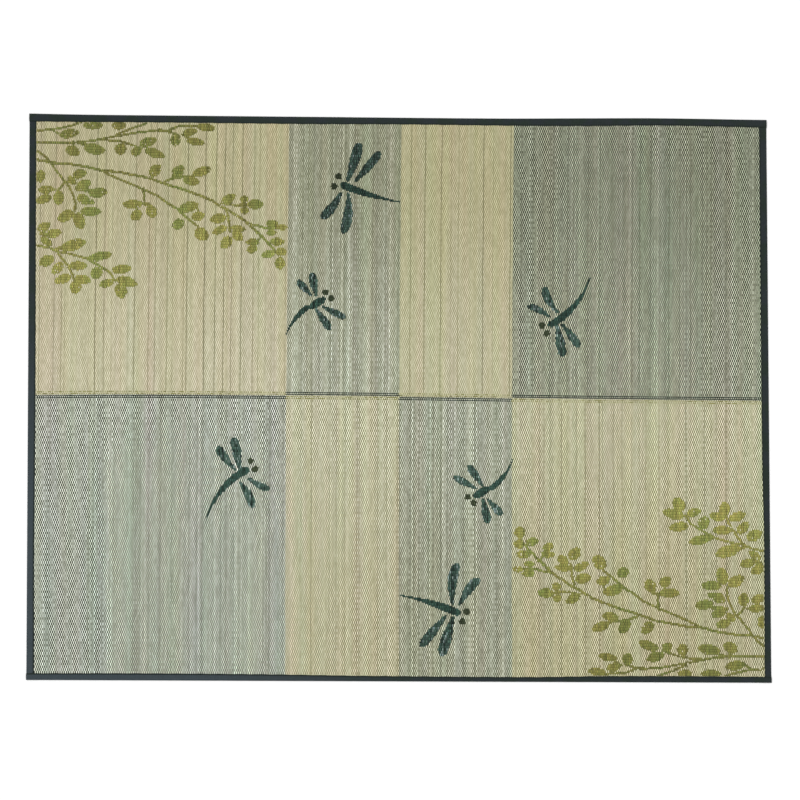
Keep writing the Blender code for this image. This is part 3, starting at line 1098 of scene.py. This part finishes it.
@dataclass(frozen=True)
class WovenRush:
    """Igusa rush, dried in clay slip and woven over cotton warps: a waxy stem with a dull bloom.

    The eye gets rows of short pale floats with dark dips between them, which are partly the darker stems and warps
    below and partly painted shade in the hollows, stems that differ one by one, and in the blue blocks a stronger
    chequer with a few very pale and very dark stems.
    """

    roughness: float = 0.6
    line_every: float = 8.0

    def material(self) -> bpy.types.Material:
        """Builds the node tree on the weave's own coordinates: columns, and rows of 8.9 mm.

        Returns:
            The material.
        """
        n = Nodes("woven_rush")
        weave = n.add("UVMap", uv_map="weave")
        u = n.add("SeparateXYZ", {0: weave}, out=0)
        v = n.add("SeparateXYZ", {0: weave}, out=1)
        column = n.add("Math", {0: n.add("Math", {0: u, 1: 0.5}, operation="ADD")}, operation="FLOOR")
        off = n.add("Math", {0: n.add("Math", {0: u, 1: column}, operation="SUBTRACT")}, operation="ABSOLUTE")
        odd = n.add("Math", {0: column, 1: 2.0}, operation="FLOORED_MODULO")
        wave = n.add("Math", {0: n.add("Math", {0: v, 1: odd}, operation="SUBTRACT"), 1: 0.5}, operation="MULTIPLY")
        index = n.add("Math", {0: n.add("Math", {0: wave, 1: 0.5}, operation="ADD")}, operation="FLOOR")
        along = n.add("Math", {0: n.add("Math", {0: wave, 1: index}, operation="SUBTRACT")}, operation="ABSOLUTE")
        crest = n.add("MapRange", {"Value": along, "From Min": 0.21, "From Max": 0.30, "To Min": 1.0, "To Max": 0.0},
                      interpolation_type="SMOOTHSTEP")
        round_shape_and_shade = n.add("MapRange", {"Value": off, "From Min": 0.30, "From Max": 0.55, "To Min": 1.0,
                                       "To Max": 0.82}, interpolation_type="SMOOTHSTEP")
        face = n.add("Math", {0: crest, 1: round_shape_and_shade}, operation="MULTIPLY")
        blue = n.add("Attribute", out="Fac", attribute_name="blue")
        low = n.add("Attribute", out="Fac", attribute_name="dip")
        reach = n.add("Attribute", out="Fac", attribute_name="streak")

        cell = n.add("CombineXYZ", {0: column, 1: index, 2: 3.0})
        own = n.add("TexWhiteNoise", {"Vector": cell}, noise_dimensions="3D")
        stem = n.add("TexWhiteNoise", {"W": column}, noise_dimensions="1D")
        drift = n.add("CombineXYZ", {0: n.add("Math", {0: column, 1: 7.31}, operation="MULTIPLY"),
                                     1: n.add("Math", {0: v, 1: 0.02}, operation="MULTIPLY")})
        fade = n.add("TexNoise", {"Vector": drift, "Scale": 1.0, "Detail": 1.0}, noise_dimensions="2D")
        band = n.add("TexNoise", {"W": n.add("Math", {0: column, 1: 0.21}, operation="MULTIPLY"), "Scale": 1.0,
                                  "Detail": 1.0}, noise_dimensions="1D")

        # Tone of each point: full on a float's face, down to the block's dip tone between floats and a little lower
        # at a stem's sides; partly the darker stems and warps below, partly painted shade in the hollows and on the
        # round of the stems
        depth = n.add("MapRange", {"Value": face, "To Min": low, "To Max": 1.0})
        own_reach = n.add("MapRange", {"Value": blue, "To Min": 0.12, "To Max": 0.22})
        own_side = n.add("MapRange", {"Value": own, "To Min": -1.0})
        own_swing = n.add("Math", {0: own_side, 1: own_reach, 2: 1.0}, operation="MULTIPLY_ADD")
        tone = n.add("Math", {0: depth, 1: own_swing}, operation="MULTIPLY")
        for chance, least, most, weight in ((stem, 0.0, 1.0, 1.5), (fade, 0.2, 0.8, 1.0), (band, 0.2, 0.8, 0.5)):
            swing = n.add("MapRange", {"Value": chance, "From Min": least, "From Max": most, "To Min": -weight,
                                       "To Max": weight})
            factor = n.add("Math", {0: swing, 1: reach, 2: 1.0}, operation="MULTIPLY_ADD")
            tone = n.add("Math", {0: tone, 1: factor}, operation="MULTIPLY")
        odd_stem = self.odd_stems(n, column, off, stem, blue, reach)
        tone = n.add("Math", {0: tone, 1: odd_stem}, operation="MULTIPLY")

        place = n.add("TexCoord", out="Object")
        patches = n.add("Mapping", {0: place, "Scale": (24.0, 0.8, 1.0)})
        tint = n.add("TexNoise", {"Vector": patches, "Scale": 1.0, "Detail": 2.0}, out="Color")
        soft = n.add("Mix", {0: 0.10, 6: (0.5, 0.5, 0.5, 1.0), 7: tint}, out=2, data_type="RGBA")
        dye = n.add("Attribute", out="Color", attribute_name="dye")
        dyed = n.add("VectorMath", {0: dye, 1: soft}, operation="MULTIPLY")
        doubled = n.add("VectorMath", {0: dyed, 1: (2.0, 2.0, 2.0)}, operation="MULTIPLY")
        warmth = n.add("MapRange", {"Value": blue, "To Min": 1.28, "To Max": 1.13})
        shade = n.add("CombineXYZ", {0: tone, 1: tone, 2: n.add("Math", {0: tone, 1: warmth}, operation="POWER")})
        colour = n.add("VectorMath", {0: doubled, 1: shade}, operation="MULTIPLY")
        bump = n.add("Bump", {"Height": n.add("Math", {0: face, 1: own_swing}, operation="MULTIPLY"), "Strength": 0.5,
                              "Distance": 0.35 * MM})
        shader = n.add("BsdfPrincipled", {"Base Color": colour, "Roughness": self.roughness, "Normal": bump,
                                          "Specular IOR Level": 0.3})
        n.add("OutputMaterial", {"Surface": shader})
        return n.material

    def odd_stems(self, n: Nodes, column: object, off: object, stem: object, blue: object, reach: object) -> object:
        """Single stems that stand out: thin dark lines in the natural blocks, pale and dark ones in the blue.

        Args:
            n: The node tree.
            column: Column number.
            off: Distance from the middle of the column.
            stem: Chance value of the column.
            blue: 1 in a blue block.
            reach: How far single stems stray in tone in this block.

        Returns:
            Factor on the stem's tone.
        """
        group = n.add("Math", {0: n.add("Math", {0: column, 1: self.line_every}, operation="DIVIDE")},
                      operation="FLOOR")
        chance = n.add("TexWhiteNoise", {"W": group}, noise_dimensions="1D")
        spot = n.add("Math", {0: n.add("Math", {0: chance, 1: 7.0}, operation="MULTIPLY")}, operation="FLOOR")
        start = n.add("Math", {0: group, 1: self.line_every}, operation="MULTIPLY")
        target = n.add("Math", {0: start, 1: spot}, operation="ADD")
        line = n.add("Math", {0: column, 1: target, 2: 0.4}, operation="COMPARE")
        thin = n.add("MapRange", {"Value": off, "From Min": 0.20, "From Max": 0.40, "To Min": line, "To Max": 0.0},
                     interpolation_type="SMOOTHSTEP")
        weight = n.add("MapRange", {"Value": stem, "To Min": 0.22, "To Max": 0.85})
        dark_line = n.add("MapRange", {"Value": thin, "To Min": 1.0, "To Max": weight})
        pale = n.add("Math", {0: stem, 1: 0.93}, operation="GREATER_THAN")
        dark = n.add("Math", {0: stem, 1: 0.10}, operation="LESS_THAN")
        outlier = n.add("Math", {0: pale, 1: dark}, operation="SUBTRACT")
        bold = n.add("Math", {0: reach, 1: 1.3, 2: 0.12}, operation="MULTIPLY_ADD")
        streak = n.add("Math", {0: outlier, 1: bold, 2: 1.0}, operation="MULTIPLY_ADD")
        return n.add("MapRange", {"Value": blue, "To Min": dark_line, "To Max": streak})


@dataclass(frozen=True)
class DyedRush:
    """Rush stems dyed before weaving: the colour of each stem is in the mesh, with fine ribs along it.

    Real ribs are about 0.25 mm apart; here they are drawn 1 mm apart, so that they show at all.
    """

    name: str = "dyed_rush"
    roughness: float = 0.55
    ribs: float = 1000.0

    def material(self) -> bpy.types.Material:
        """Takes the colour from the mesh, mottled a little along the stem, with ribs as bump.

        Returns:
            The material.
        """
        n = Nodes(self.name)
        place = n.add("TexCoord", out="Object")
        stretched = n.add("Mapping", {0: place, "Scale": (self.ribs, 0.12 * self.ribs, self.ribs)})
        rib = n.add("TexNoise", {"Vector": stretched, "Scale": 1.0, "Detail": 1.0})
        mottle = n.add("MapRange", {"Value": rib, "From Min": 0.25, "From Max": 0.75, "To Min": 0.86, "To Max": 1.14})
        dye = n.add("Attribute", out="Color", attribute_name="dye")
        colour = n.add("VectorMath", {0: dye, "Scale": mottle}, operation="SCALE")
        bump = n.add("Bump", {"Height": rib, "Strength": 0.4, "Distance": 0.15 * MM})
        shader = n.add("BsdfPrincipled", {"Base Color": colour, "Roughness": self.roughness, "Normal": bump,
                                          "Specular IOR Level": 0.15})
        n.add("OutputMaterial", {"Surface": shader})
        return n.material


@dataclass(frozen=True)
class TwistedThread:
    """Spun cotton thread: matte, with a slanted twist. The twist is drawn 1.2 mm long so that it shows."""

    name: str = "twisted_thread"
    twist: float = 1.2 * MM

    def material(self) -> bpy.types.Material:
        """Takes the colour from the mesh, darker between the turns of the twist, as painted shade in the grooves.

        Returns:
            The material.
        """
        n = Nodes(self.name)
        place = n.add("TexCoord", out="Object")
        turned = n.add("Mapping", {0: place, "Rotation": (0.0, 0.0, 0.7)})
        wave = n.add("TexWave", {"Vector": turned, "Scale": 1 / (self.twist * 2 * math.pi) * 0.5}, out="Fac")
        # Painted shade: darker in the grooves between the turns of the twist
        shade = n.add("MapRange", {"Value": wave, "To Min": 0.8, "To Max": 1.12})
        dye = n.add("Attribute", out="Color", attribute_name="dye")
        colour = n.add("VectorMath", {0: dye, "Scale": shade}, operation="SCALE")
        bump = n.add("Bump", {"Height": wave, "Strength": 0.5, "Distance": 0.2 * MM})
        shader = n.add("BsdfPrincipled", {"Base Color": colour, "Roughness": 0.85, "Sheen Weight": 0.04,
                                          "Sheen Roughness": 0.5, "Specular IOR Level": 0.1, "Normal": bump})
        n.add("OutputMaterial", {"Surface": shader})
        return n.material


@dataclass(frozen=True)
class CottonTape:
    """Cotton twill tape, piece-dyed a green navy: matte, slightly furry, with a painted sheen near one corner of the
    rug, where it turns paler and bluer.

    The real twill repeats every 0.8 mm; here the rib is 2.4 mm wide, the finest that the picture can hold.
    """

    flat_colour: str = "282e30"
    green_colour: str = "252e29"
    # Colour of the painted sheen near the front left corner
    painted_sheen_colour: str = "3a4347"
    # Colour of the painted shade at the sewn edge
    edge_shade_colour: str = "222a26"
    painted_sheen_corner: tuple[float, float, float] = (-1.25, -0.95, 0.0)
    twill: float = 2.4

    def material(self) -> bpy.types.Material:
        """Builds the node tree on the strip's own coordinates: millimetres along, and in from the sewn edge.

        Returns:
            The material.
        """
        n = Nodes("cotton_tape")
        weave = n.add("UVMap", uv_map="weave")
        along = n.add("SeparateXYZ", {0: weave}, out=0)
        inward = n.add("SeparateXYZ", {0: weave}, out=1)
        place = n.add("TexCoord", out="Object")
        patch = n.add("TexNoise", {"Vector": place, "Scale": 16.0, "Detail": 1.0})
        share = n.add("MapRange", {"Value": patch, "From Min": 0.42, "From Max": 0.58})
        even = n.add("Mix", {0: share, 6: (*linear_colour(self.flat_colour), 1.0),
                             7: (*linear_colour(self.green_colour), 1.0)}, out=2, data_type="RGBA")
        # Painted sheen: the tape turns paler and bluer towards the front left corner, where the light from the lower
        # left falls on it
        away = n.add("VectorMath", {0: place, 1: self.painted_sheen_corner}, operation="DISTANCE", out="Value")
        fade = n.add("MapRange", {"Value": away, "From Min": 0.5, "From Max": 1.45, "To Min": 1.0, "To Max": 0.0},
                     interpolation_type="SMOOTHSTEP")
        ground = n.add("Mix", {0: fade, 6: even, 7: (*linear_colour(self.painted_sheen_colour), 1.0)}, out=2,
                       data_type="RGBA")
        # Painted shade: the tape darkens towards its sewn edge, where the step of the edge and the stitch groove
        # shade it
        painted_edge_shade = n.add("MapRange", {"Value": inward, "From Min": 2.0, "From Max": 6.5, "To Min": 1.0, "To Max": 0.0},
                     interpolation_type="SMOOTHSTEP")
        shaded = n.add("Mix", {0: painted_edge_shade, 6: ground, 7: (*linear_colour(self.edge_shade_colour), 1.0)}, out=2,
                       data_type="RGBA")
        slant = n.add("Math", {0: along, 1: inward}, operation="ADD")
        rib = n.add("Math", {0: n.add("Math", {0: slant, 1: 2 * math.pi / self.twill}, operation="MULTIPLY")},
                    operation="SINE")
        fuzz = n.add("TexNoise", {"Vector": place, "Scale": 420.0, "Detail": 2.0})
        grain = n.add("Math", {0: n.add("Math", {0: rib, 1: 0.10}, operation="MULTIPLY"), 1: fuzz}, operation="ADD")
        mottle = n.add("MapRange", {"Value": grain, "From Min": 0.25, "From Max": 0.8, "To Min": 0.75,
                                    "To Max": 1.28})
        colour = n.add("VectorMath", {0: shaded, "Scale": mottle}, operation="SCALE")
        bump = n.add("Bump", {"Height": grain, "Strength": 0.35, "Distance": 0.3 * MM})
        shader = n.add("BsdfPrincipled", {"Base Color": colour, "Roughness": 0.88, "Sheen Weight": 0.03,
                                          "Sheen Roughness": 0.45, "Specular IOR Level": 0.12, "Normal": bump})
        n.add("OutputMaterial", {"Surface": shader})
        return n.material


@dataclass
class Studio:
    """White floor, soft light from the lower left, and the camera straight above."""

    floor_half: float = 14.0
    floor_drop: float = 0.3 * MM
    sky: float = 0.72
    sun: float = 1.75
    sun_spread: float = 35.0
    sun_turn: tuple[float, float, float] = (-28.0, -32.0, 0.0)
    lens: float = 50.0
    camera_at: tuple[float, float, float] = (-0.02225, -0.09348, 3.75471)
    camera_turn: tuple[float, float, float] = (0.02233, -0.00679, 0.00539)

    def build_floor(self) -> None:
        """Lays a wide white paper floor just under the rug."""
        n = Nodes("white_paper")
        place = n.add("TexCoord", out="Object")
        tooth = n.add("TexNoise", {"Vector": place, "Scale": 900.0, "Detail": 2.0})
        bump = n.add("Bump", {"Height": tooth, "Strength": 0.05, "Distance": 0.1 * MM})
        shader = n.add("BsdfPrincipled", {"Base Color": (0.93, 0.93, 0.93, 1.0), "Roughness": 0.9, "Normal": bump})
        n.add("OutputMaterial", {"Surface": shader})
        half, z = self.floor_half, -self.floor_drop
        mesh = bpy.data.meshes.new("floor")
        mesh.from_pydata([(-half, -half, z), (half, -half, z), (half, half, z), (-half, half, z)], [], [(0, 1, 2, 3)])
        mesh.materials.append(n.material)
        floor = bpy.data.objects.new("floor", mesh)
        bpy.context.scene.collection.objects.link(floor)

    def build_light(self) -> None:
        """Sets an even sky and one wide, weak sun."""
        world = bpy.data.worlds.new("sky")
        bpy.context.scene.world = world
        world.use_nodes = True
        backdrop = world.node_tree.nodes["Background"]
        backdrop.inputs["Color"].default_value = (1.0, 1.0, 1.0, 1.0)
        backdrop.inputs["Strength"].default_value = self.sky
        light = bpy.data.lights.new("soft_sun", "SUN")
        light.energy = self.sun
        light.angle = math.radians(self.sun_spread)
        lamp = bpy.data.objects.new("soft_sun", light)
        lamp.rotation_euler = [math.radians(a) for a in self.sun_turn]
        bpy.context.scene.collection.objects.link(lamp)

    def build_camera(self) -> None:
        """Hangs the camera over the rug, where the photograph was taken from."""
        data = bpy.data.cameras.new("camera")
        data.lens = self.lens
        data.sensor_width = 36.0
        camera = bpy.data.objects.new("camera", data)
        camera.location = self.camera_at
        camera.rotation_euler = self.camera_turn
        bpy.context.scene.collection.objects.link(camera)
        bpy.context.scene.camera = camera
        bpy.context.scene.view_settings.view_transform = "Standard"


# The front panel's blocks are paler than the rear's. This is partly their own colour and partly painted light, which
# falls off towards the rear and the right.
REAR_BLOCKS = (Block(0.0, 0.57, 0.05, "cec8ac", "bdb692"), Block(0.7, 0.36, 0.11, "bec1ad", "a4a68d"),
               Block(0.0, 0.53, 0.03, "cac6a7", "bbb591"), Block(1.0, 0.0, 0.07, "c0c4ab", "a9ae94"))
FRONT_BLOCKS = (Block(1.0, 0.0, 0.05, "d8decc", "d4dbc9"), Block(0.3, 0.24, 0.035, "e0ddc0", "d8d2b4"),
                Block(0.9, 0.19, 0.10, "c3c8b4", "bbbfa7"), Block(0.3, 0.21, 0.035, "ddd9ba", "d2cca7"))
REAR_LIE = Lie((0.7, -0.0014, -0.0032), (1.2, 0.0003, 0.0015))
FRONT_LIE = Lie((2.7, -0.0047, 0.0097), (-3.6, 0.003, -0.0091))

BINDINGS = (
    Binding("binding_rear", Line(((-1252, 27), (-900, 24.2), (-290, 24.9), (20, 23), (320, 24.2), (630, 26.6),
                                  (930, 24.6), (1252, 26.4))), 1, True, (0.051, 2.5)),
    Binding("binding_front", Line(((-1252, 22.5), (-880, 23.6), (-430, 22), (-130, 18.4), (430, 16.2),
                                   (683, 20.2), (886, 21.2), (1252, 20.3))), -1, True, (0.042, 2.5)),
    Binding("binding_left", Line(((-955, 26), (-520, 24.1), (-60, 25.4), (600, 23.7), (955, 23.2))), -1, False,
            (0.051, 1.9)),
    Binding("binding_right", Line(((-955, 22.6), (-470, 20.8), (-200, 24.7), (500, 25.1), (955, 25))), 1, False,
            (0.049, 1.9)),
)


def dress_panels() -> None:
    """Weaves both panels with their figures and selvedges, in place of the plain solids."""
    rush, dyed, thread = WovenRush().material(), DyedRush().material(), TwistedThread().material()
    for node, side, blocks, lie, seed in (("panel_rear", 1, REAR_BLOCKS, REAR_LIE, 11),
                                          ("panel_front", -1, FRONT_BLOCKS, FRONT_LIE, 23)):
        panel = RushPanel(f"{node}_cloth", side, blocks)
        cloth = panel.build(rush)
        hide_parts(node)
        figures = Figures(panel, seed, lie, 1.0 if side > 0 else 1.32).build(dyed)
        edge = Selvedge(panel, seed + 5).build(thread)
        LOG.info("%s: cloth %d faces, figures %d faces", node, len(cloth.data.polygons), len(figures.data.polygons))


def dress_bindings() -> None:
    """Makes the four strips of tape in place of their solids, and their stitching."""
    tape = CottonTape().material()
    for binding in BINDINGS:
        strip = binding.build(tape)
        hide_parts(binding.node)
        LOG.info("%s: %d faces", strip.name, len(strip.data.polygons))
    thread = TwistedThread("dark_thread").material()
    stitches = LockStitches(list(BINDINGS)).build(thread)
    LOG.info("stitches: %d faces", len(stitches.data.polygons))


def main() -> None:
    """Builds the rug and its studio in order."""
    logging.basicConfig(level=logging.INFO, format="%(message)s")
    studio = Studio()
    studio.build_camera()
    dress_panels()
    dress_bindings()
    lacing = Lacing().build(TwistedThread("pale_thread").material())
    LOG.info("seam lacing: %d faces", len(lacing.data.polygons))
    studio.build_floor()
    studio.build_light()


if __name__ == "__main__":
    main()
